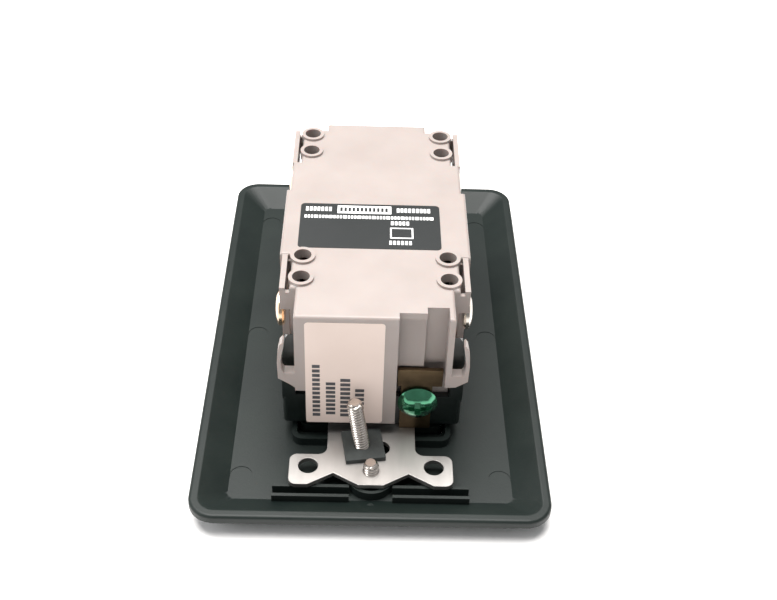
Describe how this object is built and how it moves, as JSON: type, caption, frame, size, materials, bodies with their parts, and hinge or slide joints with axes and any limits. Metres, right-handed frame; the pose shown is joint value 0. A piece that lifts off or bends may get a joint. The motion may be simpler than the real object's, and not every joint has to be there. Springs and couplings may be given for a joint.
{
  "type": "gfci receptacle",
  "caption": "Decorator-style ground-fault receptacle on a steel mounting strap, screwed into a mid-size wall plate and lying face down.",
  "frame": {"origin": "middle of the outlet face, on the surface that the device lies on", "axes": "+Z from the face to the back of the housing, +Y along the device from the line and ground end to the load end, +X across it to the neutral side"},
  "size_m": [0.0794, 0.1238, 0.043],
  "materials": {
    "black_plastic": "moulded, slight gloss",
    "grey_plastic": "moulded, satin",
    "carrier_plastic": "moulded",
    "strap_steel": "zinc plated, satin",
    "bright_steel": "nickel plated",
    "spring_steel": "drawn wire",
    "brass": "bare brass",
    "ground_brass": "dull brass",
    "green_plate": "green dyed plating, glossy",
    "retainer_board": "fibre board",
    "board_green": "solder mask",
    "ferrite": "wound core",
    "copper": "enamelled copper wire",
    "component_blue": "dipped coating",
    "component_black": "moulded",
    "clear_pipe": "clear",
    "label_black": "printed film",
    "label_cream": "printed paper"
  },
  "bodies": {
    "housing": {"wall_plate": "black_plastic", "plate_screws": "bright_steel", "strap": "strap_steel", "front_cover": "black_plastic", "rear_housing": "grey_plastic", "middle_housing": "carrier_plastic", "test_spring": "spring_steel", "reset_spring": "spring_steel", "light_pipe": "clear_pipe", "indicator_led": "component_black", "hot_contact_bar": "brass", "neutral_contact_bar": "brass", "ground_contacts": "brass", "circuit_board": "board_green", "sense_transformer": "ferrite", "neutral_transformer": "ferrite", "transformer_case": "component_black", "solenoid_bobbin": "carrier_plastic", "solenoid_coil": "copper", "plunger_spring": "spring_steel", "varistor": "component_blue", "capacitors": "component_black", "control_chip": "component_black", "ground_terminal": "ground_brass", "screw_retainers": "retainer_board", "back_label": "label_black", "end_label": "label_cream", "line_hot_terminal": "brass", "line_neutral_terminal": "bright_steel", "load_hot_terminal": "brass", "load_neutral_terminal": "bright_steel"},
    "test_button": {"test_button": "black_plastic"},
    "reset_button": {"reset_button": "black_plastic", "reset_pin": "spring_steel"},
    "plunger": {"solenoid_plunger": "spring_steel", "latch_plate": "spring_steel"},
    "contact_carriage": {"contact_carriage": "carrier_plastic", "hot_contact_arm": "brass", "neutral_contact_arm": "brass"},
    "ground_screw": {"ground_screw": "green_plate"},
    "near_mounting_screw": {"near_mounting_screw": "bright_steel"},
    "far_mounting_screw": {"far_mounting_screw": "bright_steel"},
    "line_hot_screw": {"line_hot_screw": "brass"},
    "line_hot_clamp": {"line_hot_clamp": "spring_steel"},
    "line_neutral_screw": {"line_neutral_screw": "bright_steel"},
    "line_neutral_clamp": {"line_neutral_clamp": "spring_steel"},
    "load_hot_screw": {"load_hot_screw": "brass"},
    "load_hot_clamp": {"load_hot_clamp": "spring_steel"},
    "load_neutral_screw": {"load_neutral_screw": "bright_steel"},
    "load_neutral_clamp": {"load_neutral_clamp": "spring_steel"}
  },
  "joints": [
    {"name": "test_press", "type": "slide", "parent": "housing", "child": "test_button", "axis": [0, 0, 1], "range_m": [0, 0.0015], "stiffness_N_per_m": 300, "springref_m": -0.001, "deforming": ["test_spring"]},
    {"name": "reset_press", "type": "slide", "parent": "housing", "child": "reset_button", "axis": [0, 0, 1], "range_m": [0, 0.0015], "stiffness_N_per_m": 300, "springref_m": -0.001, "deforming": ["reset_spring"]},
    {"name": "plunger_pull", "type": "slide", "parent": "housing", "child": "plunger", "axis": [0, 1, 0], "range_m": [0, 0.002], "stiffness_N_per_m": 150, "springref_m": -0.0005, "deforming": ["plunger_spring"]},
    {"name": "contact_lift", "type": "slide", "parent": "housing", "child": "contact_carriage", "axis": [0, 0, 1], "range_m": [0, 0.0012], "stiffness_N_per_m": 200, "springref_m": -0.0005},
    {"name": "ground_screw_spin", "type": "hinge", "parent": "housing", "child": "ground_screw", "pos_m": [0.0102, -0.036, 0.0158], "axis": [0, -1, 0], "continuous": true},
    {"name": "far_screw_spin", "type": "hinge", "parent": "housing", "child": "far_mounting_screw", "pos_m": [0, 0.04167, 0.00564], "axis": [0, 0, 1], "continuous": true},
    {"name": "near_screw_spin", "type": "hinge", "parent": "housing", "child": "near_mounting_screw", "pos_m": [-0.0018, -0.04167, 0.00564], "axis": [-0.1392, 0, 0.9903], "continuous": true},
    {"name": "line_hot_tighten", "type": "hinge", "parent": "housing", "child": "line_hot_screw", "pos_m": [-0.0202, -0.02099, 0.0307], "axis": [-1, 0, 0], "range_deg": [-1080, 0]},
    {"name": "line_hot_clamping", "type": "slide", "parent": "housing", "child": "line_hot_clamp", "axis": [-1, 0, 0], "range_m": [0, 0.00238]},
    {"name": "line_neutral_tighten", "type": "hinge", "parent": "housing", "child": "line_neutral_screw", "pos_m": [0.0202, -0.02099, 0.0307], "axis": [1, 0, 0], "range_deg": [-1080, 0]},
    {"name": "line_neutral_clamping", "type": "slide", "parent": "housing", "child": "line_neutral_clamp", "axis": [1, 0, 0], "range_m": [0, 0.00238]},
    {"name": "load_hot_tighten", "type": "hinge", "parent": "housing", "child": "load_hot_screw", "pos_m": [-0.0202, 0.02857, 0.0307], "axis": [-1, 0, 0], "range_deg": [-1080, 0]},
    {"name": "load_hot_clamping", "type": "slide", "parent": "housing", "child": "load_hot_clamp", "axis": [-1, 0, 0], "range_m": [0, 0.00238]},
    {"name": "load_neutral_tighten", "type": "hinge", "parent": "housing", "child": "load_neutral_screw", "pos_m": [0.0202, 0.02857, 0.0307], "axis": [1, 0, 0], "range_deg": [-1080, 0]},
    {"name": "load_neutral_clamping", "type": "slide", "parent": "housing", "child": "load_neutral_clamp", "axis": [1, 0, 0], "range_m": [0, 0.00238]}
  ],
  "couplings": [
    {"joint": "line_hot_tighten", "follows": "line_hot_clamping", "rad_per_m": -7915.8},
    {"joint": "line_neutral_tighten", "follows": "line_neutral_clamping", "rad_per_m": -7915.8},
    {"joint": "load_hot_tighten", "follows": "load_hot_clamping", "rad_per_m": -7915.8},
    {"joint": "load_neutral_tighten", "follows": "load_neutral_clamping", "rad_per_m": -7915.8}
  ]
}
